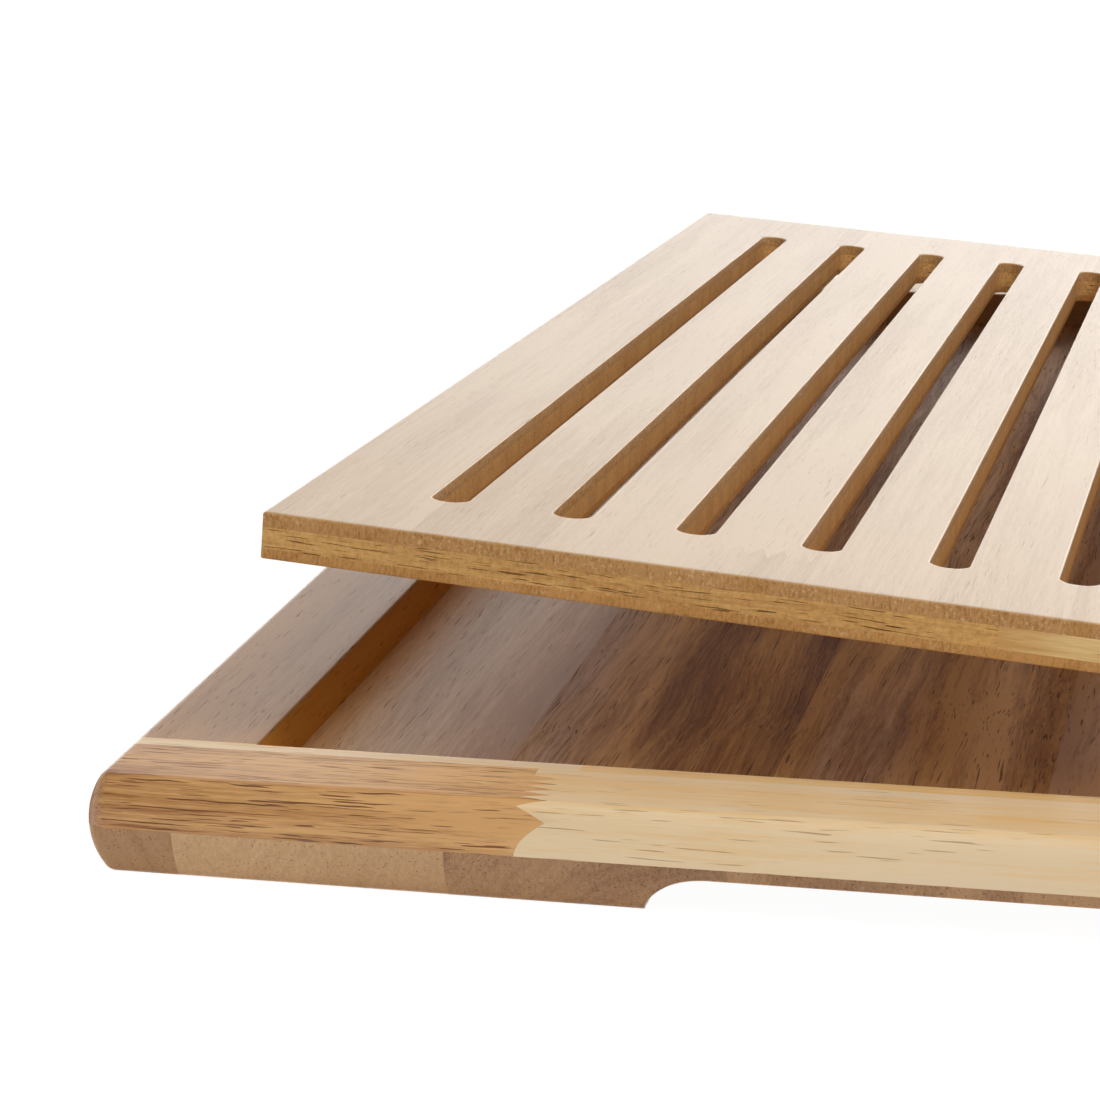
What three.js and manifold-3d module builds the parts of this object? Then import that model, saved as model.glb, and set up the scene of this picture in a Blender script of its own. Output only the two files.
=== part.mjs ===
// A slatted bread board: a shallow crumb tray of edge glued staves with a raised frame,
// and a slotted cross laminated insert that lies in it and lifts out for emptying.
// Millimetres, +Z up. Origin: centre of the tray's underside. The front short end faces -Y.
import * as THREE from 'three';
import { mergeVertices } from 'three/addons/utils/BufferGeometryUtils.js';
import Module from 'manifold-3d';

const wasm = await Module();
wasm.setup();

// Whole board
const boardWidth = 322;
const boardLength = 475;
const cornerRadius = 5;
const edgeArcRadius = 15.4;
const cornerSteps = 7;
const edgeSteps = 14;
const cutOverrun = 4;

// Base panel, glued from staves that run along the board
const baseThickness = 9.7;
const firstStaveWidth = 17.4;
const staveCount = 7;

// Finger arches, one under each short end
const archWidth = 115;
const archShoulder = 12.5;
const archHeight = 7.2;
const archDepth = 24;
const archLip = 1.3;
const archShoulderSteps = 8;
const archLipSteps = 3;
const archSteepShare = 0.42;

// Frame
const railHeight = 9.3;
const endRailWidth = 23;
const endRailInnerLath = 3.5;
const sideRailWidth = 26.5;

// Finger joint that lengthens each end rail's outer lath
const fingerJointOffset = 77.3;
const fingerLength = 5.4;
const fingerCount = 6;
const fingerRun = 16;
const fingerGap = 0.3;
const innerLathJointOffset = 72.5;

// Insert
const wallGap = 0.75;
const floorGap = 0.3;
const plyGap = 0.3;
const staveGap = 0.3;
const topPly = 2.6;
const corePly = 3.8;
const bottomPly = 1.8;
const slotCount = 10;
const slotWidth = 7.3;
const slotSideMargin = 24;
const slotFrontMargin = 25;
const slotBackMargin = 35;
const slotEndSteps = 8;

// The core ply's outer strips run across the insert, in front of and behind the slots
const coreFrontStrip = 22;
const coreBackStrip = 32;
const coreFrontJointOffset = 134;
const coreScarfRun = 9;

// One top stave is lengthened with a short piece at the front, by a finger joint
const piecedStave = 4;
const piecedStaveJoint = 18;
const smallFingerLength = 7;
const smallFingerCount = 6;

// The insert's hinge line and how far its front left corner is lifted at rest
const liftDegrees = 5.82;
const liftAxisShares = { x: -0.477, y: 0.879 };

// Worked out from the sizes above
const halfWidth = boardWidth / 2;
const halfLength = boardLength / 2;
const boardHeight = baseThickness + railHeight;
const staveWidth = (boardWidth - firstStaveWidth) / (staveCount - 1);
const recessWidth = boardWidth - 2 * sideRailWidth;
const recessLength = boardLength - 2 * endRailWidth;
const insertWidth = recessWidth - 2 * wallGap;
const insertLength = recessLength - 2 * wallGap;
const insertThickness = topPly + plyGap + corePly + plyGap + bottomPly;
const slotPitch = (insertWidth - 2 * slotSideMargin - slotWidth) / (slotCount - 1);

const colours = {
  paleStave: '#dcc3a0',
  brownStave: '#a9825e',
  greyStave: '#c3a789',
  warmRail: '#cf9f68',
  creamRail: '#dcbf8f',
  insertTop: '#ead9c1',
  core: '#c49a57',
  insertBottom: '#b98c52',
};

function wood(colour) {
  return new THREE.MeshStandardMaterial({ color: colour, roughness: 0.55, metalness: 0, flatShading: true });
}

// Closed geometry to a solid that can be cut, and back
function toSolid(geometry) {
  const bare = new THREE.BufferGeometry();
  bare.setAttribute('position', geometry.getAttribute('position').clone());
  if (geometry.index) {
    bare.setIndex(geometry.index.clone());
  }
  const merged = mergeVertices(bare);
  const vertProperties = new Float32Array(merged.getAttribute('position').array);
  const triVerts = new Uint32Array(merged.index.array);
  return new wasm.Manifold(new wasm.Mesh({ numProp: 3, vertProperties, triVerts }));
}

function toGeometry(solid) {
  const mesh = solid.getMesh();
  const geometry = new THREE.BufferGeometry();
  geometry.setAttribute('position', new THREE.BufferAttribute(new Float32Array(mesh.vertProperties), 3));
  geometry.setIndex(new THREE.BufferAttribute(new Uint32Array(mesh.triVerts), 1));
  geometry.computeVertexNormals();
  return geometry;
}

// A box by its corners, so that neighbours share their faces exactly
function block(low, high) {
  const geometry = new THREE.BoxGeometry(1, 1, 1);
  const position = geometry.getAttribute('position');
  for (let i = 0; i < position.count; i += 1) {
    position.setXYZ(
      i,
      position.getX(i) < 0 ? low.x : high.x,
      position.getY(i) < 0 ? low.y : high.y,
      position.getZ(i) < 0 ? low.z : high.z,
    );
  }
  return geometry;
}

function at(x, y, z) {
  return new THREE.Vector3(x, y, z);
}

// A plan outline raised from one height to another
function prism(points, low, high) {
  const shape = new THREE.Shape(points);
  const geometry = new THREE.ExtrudeGeometry(shape, { depth: high - low, bevelEnabled: false, steps: 1 });
  geometry.translate(0, 0, low);
  return geometry;
}

// Edge profile of the board, one shallow arc that is widest at half height and meets both faces
// at a crease: inset from the plan outline against height
function edgeProfile() {
  const profile = [];
  for (let i = 0; i <= edgeSteps; i += 1) {
    const z = (boardHeight * i) / edgeSteps;
    const fromMiddle = z - boardHeight / 2;
    profile.push({ inset: edgeArcRadius - Math.sqrt(edgeArcRadius ** 2 - fromMiddle ** 2), z });
  }
  return profile;
}

// Rounded rectangle of the board in plan, drawn in by an inset
function planRing(inset) {
  const ring = [];
  const radius = cornerRadius - inset;
  const centres = [[1, -1], [1, 1], [-1, 1], [-1, -1]];
  centres.forEach(([sx, sy], corner) => {
    for (let i = 0; i <= cornerSteps; i += 1) {
      const angle = (corner - 1 + i / cornerSteps) * Math.PI / 2;
      ring.push([
        sx * (halfWidth - cornerRadius) + radius * Math.cos(angle),
        sy * (halfLength - cornerRadius) + radius * Math.sin(angle),
      ]);
    }
  });
  return ring;
}

// The outside of the whole board: plan rings stacked up the edge profile, closed by two fans
function boardEnvelope() {
  const profile = edgeProfile();
  const positions = [];
  const faces = [];
  profile.forEach(({ inset, z }) => {
    planRing(inset).forEach(([x, y]) => positions.push(x, y, z));
  });
  const count = planRing(0).length;
  for (let row = 0; row < profile.length - 1; row += 1) {
    for (let i = 0; i < count; i += 1) {
      const a = row * count + i;
      const b = row * count + ((i + 1) % count);
      faces.push(a, b, b + count, a, b + count, a + count);
    }
  }
  const top = (profile.length - 1) * count;
  for (let i = 1; i < count - 1; i += 1) {
    faces.push(0, i + 1, i);
    faces.push(top, top + i, top + i + 1);
  }
  const geometry = new THREE.BufferGeometry();
  geometry.setAttribute('position', new THREE.Float32BufferAttribute(positions, 3));
  geometry.setIndex(faces);
  return toSolid(geometry);
}

// Rise of an arch's shoulder, 0 at its foot and 1 at its crown: short and steep at the foot,
// long and flat towards the crown
function shoulderRise(share) {
  const t = Math.min(Math.max(share, 0), 1);
  const bent = t ** archSteepShare * (2 - t ** archSteepShare);
  return t < 1 ? bent ** 2 : 1;
}

// Places along one shoulder, closer together at its steep foot
function shoulderPlaces(foot, crown) {
  const places = [];
  for (let i = 0; i <= archShoulderSteps; i += 1) {
    places.push(foot + (crown - foot) * (i / archShoulderSteps) ** 2);
  }
  return places;
}

// Closed block between a flat bottom and a top that is a function of the place in plan
function reliefBlock(xs, ys, topOf, bottom) {
  const positions = [];
  const faces = [];
  const rows = ys.length;
  const index = (i, j, side) => 2 * (i * rows + j) + side;
  xs.forEach((x) => ys.forEach((y) => positions.push(x, y, bottom, x, y, topOf(x, y))));
  const quad = (a, b, c, d) => faces.push(a, b, c, a, c, d);
  for (let i = 0; i < xs.length - 1; i += 1) {
    for (let j = 0; j < rows - 1; j += 1) {
      quad(index(i, j, 1), index(i + 1, j, 1), index(i + 1, j + 1, 1), index(i, j + 1, 1));
      quad(index(i, j, 0), index(i, j + 1, 0), index(i + 1, j + 1, 0), index(i + 1, j, 0));
    }
    quad(index(i, 0, 0), index(i + 1, 0, 0), index(i + 1, 0, 1), index(i, 0, 1));
    const far = rows - 1;
    quad(index(i, far, 0), index(i, far, 1), index(i + 1, far, 1), index(i + 1, far, 0));
  }
  const end = xs.length - 1;
  for (let j = 0; j < rows - 1; j += 1) {
    quad(index(0, j, 0), index(0, j, 1), index(0, j + 1, 1), index(0, j + 1, 0));
    quad(index(end, j, 0), index(end, j + 1, 0), index(end, j + 1, 1), index(end, j, 1));
  }
  const geometry = new THREE.BufferGeometry();
  geometry.setAttribute('position', new THREE.Float32BufferAttribute(positions, 3));
  geometry.setIndex(faces);
  return geometry;
}

// Finger arch under one short end: a flat crown with a curved shoulder on three sides,
// and a rounded lip where it meets the end face
function archCutter(endSign) {
  const foot = archWidth / 2;
  const crown = foot - archShoulder;
  const face = -halfLength;
  const deep = face + archDepth;
  const left = shoulderPlaces(-foot, -crown);
  const xs = [...left, ...left.map((x) => -x).reverse()];
  const ys = [face - cutOverrun];
  for (let i = 0; i <= archLipSteps; i += 1) {
    ys.push(face + archLip * (1 - Math.cos((i / archLipSteps) * Math.PI / 2)));
  }
  ys.push(...shoulderPlaces(deep, deep - archShoulder).reverse());
  const lipRise = (y) => {
    const t = Math.min(Math.max((y - face) / archLip, 0), 1);
    return archLip * (1 - Math.sqrt(1 - (1 - t) ** 2));
  };
  const topOf = (x, y) => {
    const across = shoulderRise((foot - Math.abs(x)) / archShoulder);
    const along = shoulderRise((deep - y) / archShoulder);
    return across * (archHeight * along + lipRise(y));
  };
  const geometry = reliefBlock(xs, ys, topOf, -cutOverrun);
  if (endSign > 0) {
    geometry.rotateZ(Math.PI);
  }
  return toSolid(geometry);
}

// Zigzag line of fingers across a lath, from one side to the other
function fingerLine(x, yStart, yEnd, length, count) {
  const points = [];
  for (let i = 0; i <= 2 * count; i += 1) {
    const reach = i % 2 === 0 ? -length / 2 : length / 2;
    points.push(new THREE.Vector2(x + reach, yStart + ((yEnd - yStart) * i) / (2 * count)));
  }
  return points;
}

function shifted(points, dx, dy) {
  return points.map((point) => new THREE.Vector2(point.x + dx, point.y + dy));
}

function mesh(name, geometry, colour) {
  const piece = new THREE.Mesh(geometry, wood(colour));
  piece.name = name;
  return piece;
}

// Base staves: slices of the board's envelope with both arches taken out
function addBase(tray, envelope) {
  const arches = [archCutter(-1), archCutter(1)];
  const tones = [colours.brownStave, colours.paleStave, colours.brownStave, colours.greyStave];
  let left = -halfWidth;
  for (let i = 1; i <= staveCount; i += 1) {
    const right = i === staveCount ? halfWidth : -halfWidth + firstStaveWidth + (i - 1) * staveWidth;
    const low = at(i === 1 ? left - cutOverrun : left, -halfLength - cutOverrun, -cutOverrun);
    const high = at(i === staveCount ? right + cutOverrun : right, halfLength + cutOverrun, baseThickness);
    let stave = envelope.intersect(toSolid(block(low, high)));
    arches.forEach((arch) => {
      stave = stave.subtract(arch);
    });
    tray.add(mesh(`base_stave_${i}`, toGeometry(stave), tones[(i - 1) % tones.length]));
    left = right;
  }
}

// End rail of one short end: an outer lath in two finger jointed lengths and a thin inner lath
function addEndRail(tray, envelope, name, turn) {
  const outerEdge = -halfLength - cutOverrun;
  const glueLine = -halfLength + endRailWidth - endRailInnerLath;
  const innerEdge = -halfLength + endRailWidth;
  const side = halfWidth + cutOverrun;
  const top = boardHeight + cutOverrun;
  const fingersEnd = -halfLength + fingerRun;
  const zigzag = fingerLine(-fingerJointOffset, -halfLength, fingersEnd, fingerLength, fingerCount);
  const root = zigzag[0].x;
  zigzag.unshift(new THREE.Vector2(root, outerEdge));
  zigzag.push(new THREE.Vector2(root, glueLine));
  const westLine = shifted(zigzag, -fingerGap / 2, 0);
  const eastLine = shifted(zigzag, fingerGap / 2, 0);
  const westOuter = [
    new THREE.Vector2(-side, outerEdge),
    ...westLine,
    new THREE.Vector2(-side, glueLine),
  ];
  const eastOuter = [
    new THREE.Vector2(side, glueLine),
    ...eastLine.reverse(),
    new THREE.Vector2(side, outerEdge),
  ];
  const pieces = [
    ['outer_left', prism(westOuter, baseThickness, top), colours.warmRail],
    ['outer_right', prism(eastOuter, baseThickness, top), colours.creamRail],
    ['inner_left', block(
      at(-side, glueLine, baseThickness),
      at(-innerLathJointOffset, innerEdge, top),
    ), colours.creamRail],
    ['inner_right', block(
      at(-innerLathJointOffset, glueLine, baseThickness),
      at(side, innerEdge, top),
    ), colours.warmRail],
  ];
  pieces.forEach(([part, geometry, colour]) => {
    if (turn) {
      geometry.rotateZ(Math.PI);
    }
    const flipped = part.includes('left') ? part.replace('left', 'right') : part.replace('right', 'left');
    const solid = envelope.intersect(toSolid(geometry));
    tray.add(mesh(`${name}_${turn ? flipped : part}`, toGeometry(solid), colour));
  });
}

function addSideRails(tray, envelope) {
  const reach = halfLength - endRailWidth;
  const inner = halfWidth - sideRailWidth;
  const outer = halfWidth + cutOverrun;
  const top = boardHeight + cutOverrun;
  const left = toSolid(block(at(-outer, -reach, baseThickness), at(-inner, reach, top)));
  const right = toSolid(block(at(inner, -reach, baseThickness), at(outer, reach, top)));
  tray.add(mesh('left_rail', toGeometry(envelope.intersect(left)), colours.greyStave));
  tray.add(mesh('right_rail', toGeometry(envelope.intersect(right)), colours.greyStave));
}

// Insert sizes are measured from its front left corner, heights down from its top face
function slotCentre(i) {
  return slotSideMargin + slotWidth / 2 + (i - 1) * slotPitch;
}

function slotCutter(i) {
  const radius = slotWidth / 2;
  const x = slotCentre(i);
  const front = slotFrontMargin + radius;
  const back = insertLength - slotBackMargin - radius;
  const points = [];
  for (let k = 0; k <= slotEndSteps; k += 1) {
    const angle = (k / slotEndSteps) * Math.PI;
    points.push(new THREE.Vector2(x + radius * Math.cos(angle), back + radius * Math.sin(angle)));
  }
  for (let k = 0; k <= slotEndSteps; k += 1) {
    const angle = (k / slotEndSteps) * Math.PI;
    points.push(new THREE.Vector2(x - radius * Math.cos(angle), front - radius * Math.sin(angle)));
  }
  return toSolid(prism(points, -insertThickness - cutOverrun, cutOverrun));
}

// Stave joints lie on the slots' centre lines, so they only show in the two margins
function staveEdges(i) {
  const left = i === 1 ? 0 : slotCentre(i - 1) + staveGap / 2;
  const right = i === slotCount + 1 ? insertWidth : slotCentre(i) - staveGap / 2;
  return { left, right };
}

function insertPiece(name, geometry, slots, colour) {
  let solid = toSolid(geometry);
  slots.forEach((slot) => {
    solid = solid.subtract(slot);
  });
  const shape = toGeometry(solid);
  shape.translate(-insertWidth, -insertLength, 0);
  return mesh(name, shape, colour);
}

function staveSlots(i, slots) {
  return slots.filter((slot, k) => k === i - 2 || k === i - 1);
}

function addStavedPly(insert, slots, name, low, high, colour) {
  for (let i = 1; i <= slotCount + 1; i += 1) {
    const { left, right } = staveEdges(i);
    const cutters = staveSlots(i, slots);
    if (name === 'insert_top_stave' && i === piecedStave) {
      const line = fingerLine(piecedStaveJoint, left, right, smallFingerLength, smallFingerCount)
        .map((point) => new THREE.Vector2(point.y, point.x));
      const near = [...shifted(line, 0, -staveGap / 2)].reverse();
      const far = shifted(line, 0, staveGap / 2);
      const end = [new THREE.Vector2(left, 0), new THREE.Vector2(right, 0), ...near];
      const long = [...far, new THREE.Vector2(right, insertLength), new THREE.Vector2(left, insertLength)];
      insert.add(insertPiece(`${name}_${i}_end`, prism(end, low, high), cutters, colour));
      insert.add(insertPiece(`${name}_${i}`, prism(long, low, high), cutters, colour));
    } else {
      const plain = block(at(left, 0, low), at(right, insertLength, high));
      insert.add(insertPiece(`${name}_${i}`, plain, cutters, colour));
    }
  }
}

// Core: two lengths across the front, a slotted panel and one length across the back
function addCore(insert, slots, low, high) {
  const half = staveGap / 2;
  const frontEdge = coreFrontStrip - half;
  const backEdge = insertLength - coreBackStrip;
  const scarf = (y, side) => coreFrontJointOffset + (y / coreFrontStrip) * coreScarfRun + side * half;
  const left = [
    new THREE.Vector2(0, 0),
    new THREE.Vector2(scarf(0, -1), 0),
    new THREE.Vector2(scarf(frontEdge, -1), frontEdge),
    new THREE.Vector2(0, frontEdge),
  ];
  const right = [
    new THREE.Vector2(scarf(0, 1), 0),
    new THREE.Vector2(insertWidth, 0),
    new THREE.Vector2(insertWidth, frontEdge),
    new THREE.Vector2(scarf(frontEdge, 1), frontEdge),
  ];
  const panel = block(at(0, frontEdge + staveGap, low), at(insertWidth, backEdge - half, high));
  const back = block(at(0, backEdge + half, low), at(insertWidth, insertLength, high));
  insert.add(insertPiece('insert_core_front_left', prism(left, low, high), [], colours.core));
  insert.add(insertPiece('insert_core_front_right', prism(right, low, high), [], colours.core));
  insert.add(insertPiece('insert_core_panel', panel, slots, colours.core));
  insert.add(insertPiece('insert_core_back', back, [], colours.core));
}

// The insert hangs from its back right top corner, the one that stays down when it is lifted
function buildInsert() {
  const insert = new THREE.Group();
  const slots = [];
  for (let i = 1; i <= slotCount; i += 1) {
    slots.push(slotCutter(i));
  }
  const coreTop = -topPly - plyGap;
  const bottomTop = coreTop - corePly - plyGap;
  addStavedPly(insert, slots, 'insert_top_stave', -topPly, 0, colours.insertTop);
  addCore(insert, slots, coreTop - corePly, coreTop);
  addStavedPly(insert, slots, 'insert_bottom_stave', bottomTop - bottomPly, bottomTop, colours.insertBottom);
  insert.position.set(
    recessWidth / 2 - wallGap,
    recessLength / 2 - wallGap,
    baseThickness + floorGap + insertThickness,
  );
  const axis = new THREE.Vector3(liftAxisShares.x, liftAxisShares.y, 0).normalize();
  insert.quaternion.setFromAxisAngle(axis, THREE.MathUtils.degToRad(liftDegrees));
  return insert;
}

function buildTray() {
  const tray = new THREE.Group();
  const envelope = boardEnvelope();
  addBase(tray, envelope);
  addEndRail(tray, envelope, 'front_rail', false);
  addEndRail(tray, envelope, 'back_rail', true);
  addSideRails(tray, envelope);
  return tray;
}

const board = new THREE.Group();
board.add(buildTray());
board.add(buildInsert());

export default board;
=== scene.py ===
import math
import bpy
import numpy as np
from mathutils import Matrix, Vector


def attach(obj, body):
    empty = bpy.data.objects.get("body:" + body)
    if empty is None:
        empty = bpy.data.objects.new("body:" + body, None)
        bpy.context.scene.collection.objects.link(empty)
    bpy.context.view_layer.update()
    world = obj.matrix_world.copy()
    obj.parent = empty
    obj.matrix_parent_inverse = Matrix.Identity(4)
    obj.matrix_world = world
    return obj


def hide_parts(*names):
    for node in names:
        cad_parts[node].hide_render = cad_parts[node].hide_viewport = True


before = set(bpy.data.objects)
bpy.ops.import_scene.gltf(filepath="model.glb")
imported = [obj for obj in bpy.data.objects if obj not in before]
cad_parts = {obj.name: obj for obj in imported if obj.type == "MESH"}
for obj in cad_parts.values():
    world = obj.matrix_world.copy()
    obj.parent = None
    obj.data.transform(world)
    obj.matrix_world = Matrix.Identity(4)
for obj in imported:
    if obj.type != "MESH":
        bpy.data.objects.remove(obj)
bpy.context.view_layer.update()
millimetre = 0.001

# Sizes shared by several pieces, in millimetres and degrees
board = dict(width=322, length=475, height=19, cornerRadius=5, edgeArc=15.4, creaseRound=1.2)
recess = dict(width=269, length=429, floor=9.7, edgeRound=0.45, leastRise=0.05)
insert = dict(
    width=267.5, length=427.5, thickness=8.8, coreTop=2.75, coreBottom=6.85, edgeRound=0.4,
    slots=10, slotWidth=7.3, sideMargin=24, frontMargin=25, backMargin=35, slotRound=0.35,
    pivot=(133.75, 213.75, 18.8), axis=(-0.477, 0.879, 0), lift=5.82,
)
halfWidth = board["width"] / 2
halfBoard = board["length"] / 2
halfHeight = board["height"] / 2

# Edges sharper than this angle stay sharp, and faces past either mark take the sawn material
shading = dict(sharpAngle=32, sawnCut=0.5, sawnEnd=0.7)
nothing = np.zeros(1)


# Fall of a rounded edge at distance d inside it: r - sqrt(r^2 - (r - d)^2), and nothing past r
def roundFall(d, r):
    inside = np.clip(d, 0, r)
    return r - np.sqrt(np.maximum(r * r - (r - inside) ** 2, 0))


# Distances in from an edge that turn a quarter circle in even angles: r (1 - cos a)
def arcSteps(r, steps):
    return r * (1 - np.cos(np.linspace(0, math.pi / 2, steps + 1)))


# Sorted places without repeats, from several lists
def lines(*parts):
    return np.unique(np.round(np.concatenate([np.atleast_1d(part) for part in parts]), 4))


# x lines between two edges that may bend along y: set distances in from each, even steps between
def spread(left, right, nearLeft, steps, nearRight):
    a = left[:, None] + nearLeft
    b = right[:, None] - nearRight[::-1]
    middle = a[:, -1:] + np.linspace(0, 1, steps + 1)[1:-1] * (b[:, :1] - a[:, -1:])
    return np.hstack([a, middle, b])


# The y of each row, at every point of a grid
def rowGrid(rows, x):
    return np.tile(rows[:, None], (1, x.shape[1]))


# Distance in from the board's outline in plan, a rectangle with round corners
def fromOutline(x, y):
    qx = np.abs(x) - (halfWidth - board["cornerRadius"])
    qy = np.abs(y) - (halfBoard - board["cornerRadius"])
    outside = np.hypot(np.maximum(qx, 0), np.maximum(qy, 0)) + np.minimum(np.maximum(qx, qy), 0)
    return board["cornerRadius"] - outside


# Half width of the board at y: straight, then a quarter circle at each corner
def halfWidthAt(y):
    into = np.maximum(np.abs(y) - (halfBoard - board["cornerRadius"]), 0)
    reach = np.sqrt(np.maximum(board["cornerRadius"] ** 2 - into ** 2, 0))
    return halfWidth - board["cornerRadius"] + reach


# Distance out from the recess, a plain rectangle
def fromRecess(x, y):
    dx = np.maximum(np.abs(x) - recess["width"] / 2, 0)
    dy = np.maximum(np.abs(y) - recess["length"] / 2, 0)
    return np.hypot(dx, dy)


# How far the board's side arc reaches above or below its widest line, at distance d inside the outline:
# sqrt(R^2 - (R - d)^2), held at half the height, with the crease eased by a smooth minimum
def sideArc(d):
    arc, ease = board["edgeArc"], board["creaseRound"]
    reach = np.sqrt(np.maximum(arc ** 2 - (arc - np.clip(d, 0, arc)) ** 2, 0))
    near = np.maximum(ease - np.abs(reach - halfHeight), 0) / ease
    return np.minimum(reach, halfHeight) - near ** 2 * ease / 4


# Distances in from the outline that climb the side arc in even heights, closer together at its crease
def sideSteps(steps):
    rise = np.linspace(0, halfHeight, steps + 1)
    inset = board["edgeArc"] - np.sqrt(board["edgeArc"] ** 2 - rise ** 2)
    return lines(inset, inset[-1] + board["creaseRound"] * np.linspace(-0.5, 1.2, 9))


# Top of the frame: the side arc at the outline, flat, then a rounded edge down to the recess
def frameTop(x, y):
    top = halfHeight + sideArc(fromOutline(x, y)) - roundFall(fromRecess(x, y), recess["edgeRound"])
    return np.maximum(top, recess["floor"] + recess["leastRise"])


# Faces of a closed slab on two equal grids: the upper one, the lower one turned over, and the wall that
# joins their rims, with a mark of 1 on the wall
def slabFaces(rows, columns):
    below = rows * columns
    ids = np.arange(below).reshape(rows, columns)
    top = np.stack([ids[:-1, :-1], ids[:-1, 1:], ids[1:, 1:], ids[1:, :-1]], -1).reshape(-1, 4)
    rim = np.concatenate([ids[0, :-1], ids[:-1, -1], ids[-1, :0:-1], ids[:0:-1, 0]])
    after = np.roll(rim, -1)
    wall = np.stack([rim + below, after + below, after, rim], -1)
    faces = np.concatenate([top, top[:, ::-1] + below, wall])
    return faces, np.concatenate([np.zeros(2 * len(top)), np.ones(len(wall))])


# A closed piece between an upper and a lower surface over one grid in plan
def closedSheet(name, x, y, upper, lower, grain, body, nodes, material, place=None):
    points = np.concatenate([np.stack([x, y, z], -1).reshape(-1, 3) for z in (upper, lower)])
    faces, cut = slabFaces(*x.shape)
    placedMesh(name, points, faces, cut, grain, body, nodes, material, place)


# A piece from points and four sided faces, turned to its place, on its body and with its wood.
# cut is 1 on faces that a saw or router left, which take the colour of end grain and shine less
def placedMesh(name, points, faces, cut, grain, body, nodes, material, place):
    mesh = bpy.data.meshes.new(name)
    mesh.vertices.add(len(points))
    mesh.loops.add(faces.size)
    mesh.polygons.add(len(faces))
    where = points if place is None else points @ np.array(place.to_3x3()).T + np.array(place.translation)
    mesh.vertices.foreach_set("co", (where * millimetre).astype(np.float32).ravel())
    mesh.loops.foreach_set("vertex_index", faces.astype(np.int32).ravel())
    mesh.polygons.foreach_set("loop_start", np.arange(0, faces.size, 4, dtype=np.int32))
    mesh.update(calc_edges=True)
    mesh.validate()
    mesh.shade_smooth()
    mesh.set_sharp_from_angle(angle=math.radians(shading["sharpAngle"]))
    # Where each point lies in the tree: along the grain, then the two ways out from the pith
    along, across = (0, 1) if grain["run"] == "x" else (1, 0)
    tree = np.stack([points[:, along], points[:, across], points[:, 2]], -1) + np.array(grain["pith"])
    mesh.attributes.new("tree", "FLOAT_VECTOR", "POINT").data.foreach_set(
        "vector", tree.astype(np.float32).ravel())
    tone = np.full(len(points), grain.get("tone", 0), np.float32)
    if "across" in grain:
        # Tones at some places along one axis of the piece, and even steps between them
        axis, places, tones = grain["across"]
        tone = np.interp(points[:, axis], places, tones).astype(np.float32)
    mesh.attributes.new("tone", "FLOAT", "POINT").data.foreach_set("value", tone)
    mesh.attributes.new("cut", "FLOAT", "FACE").data.foreach_set("value", cut.astype(np.float32))
    # End grain: how squarely a face's normal, the cross product of its diagonals, lies along the grain
    corners = points[faces]
    normal = np.cross(corners[:, 2] - corners[:, 0], corners[:, 3] - corners[:, 1])
    end = np.abs(normal[:, along]) / np.maximum(np.linalg.norm(normal, axis=1), 0.000001)
    mesh.attributes.new("end", "FLOAT", "FACE").data.foreach_set("value", end.astype(np.float32))
    mesh.materials.append(woods[material])
    mesh.materials.append(sawnWoods[material])
    sawn = (cut > shading["sawnCut"]) | (end > shading["sawnEnd"])
    mesh.polygons.foreach_set("material_index", sawn.astype(np.int32))
    piece = bpy.data.objects.new(name, mesh)
    bpy.context.scene.collection.objects.link(piece)
    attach(piece, body)
    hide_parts(*nodes)


# Adds a shader node: settings are its properties, values and links go to its inputs
def addNode(tree, kind, **settings):
    node = tree.nodes.new(kind)
    links = settings.pop("links", {})
    values = settings.pop("values", {})
    for key, value in settings.items():
        setattr(node, key, value)
    for key, value in values.items():
        node.inputs[key].default_value = value
    for key, source in links.items():
        tree.links.new(source, node.inputs[key])
    return node


# Puts numbers or colours into sockets, and links what is itself a socket
def fill(tree, node, entries):
    for socket, entry in entries:
        if isinstance(entry, (int, float, tuple)):
            node.inputs[socket].default_value = entry
        else:
            tree.links.new(entry, node.inputs[socket])


# One step of arithmetic on numbers or sockets
def maths(tree, operation, *terms, clamp=False):
    node = addNode(tree, "ShaderNodeMath", operation=operation, use_clamp=clamp)
    fill(tree, node, enumerate(terms))
    return node.outputs[0]


def times(tree, a, b, clamp=False):
    return maths(tree, "MULTIPLY", a, b, clamp=clamp)


def plus(tree, a, b, clamp=False):
    return maths(tree, "ADD", a, b, clamp=clamp)


def minus(tree, a, b):
    return maths(tree, "SUBTRACT", a, b)


# A vector times a vector, axis by axis
def scaled(tree, vector, by):
    node = addNode(tree, "ShaderNodeVectorMath", operation="MULTIPLY")
    fill(tree, node, enumerate((vector, by)))
    return node.outputs[0]


# A smooth step from one value to another, over a stretch of its input
def ramped(tree, value, low, high, toLow=0.0, toHigh=1.0):
    node = addNode(tree, "ShaderNodeMapRange", interpolation_type="SMOOTHSTEP")
    fill(tree, node, (("Value", value), ("From Min", low), ("From Max", high),
                      ("To Min", toLow), ("To Max", toHigh)))
    return node.outputs["Result"]


# One colour blended into another by a share
def mixed(tree, share, a, b, blend="MIX"):
    node = addNode(tree, "ShaderNodeMix", data_type="RGBA", blend_type=blend)
    fill(tree, node, ((0, share), (6, a), (7, b)))
    return node.outputs[2]


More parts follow.
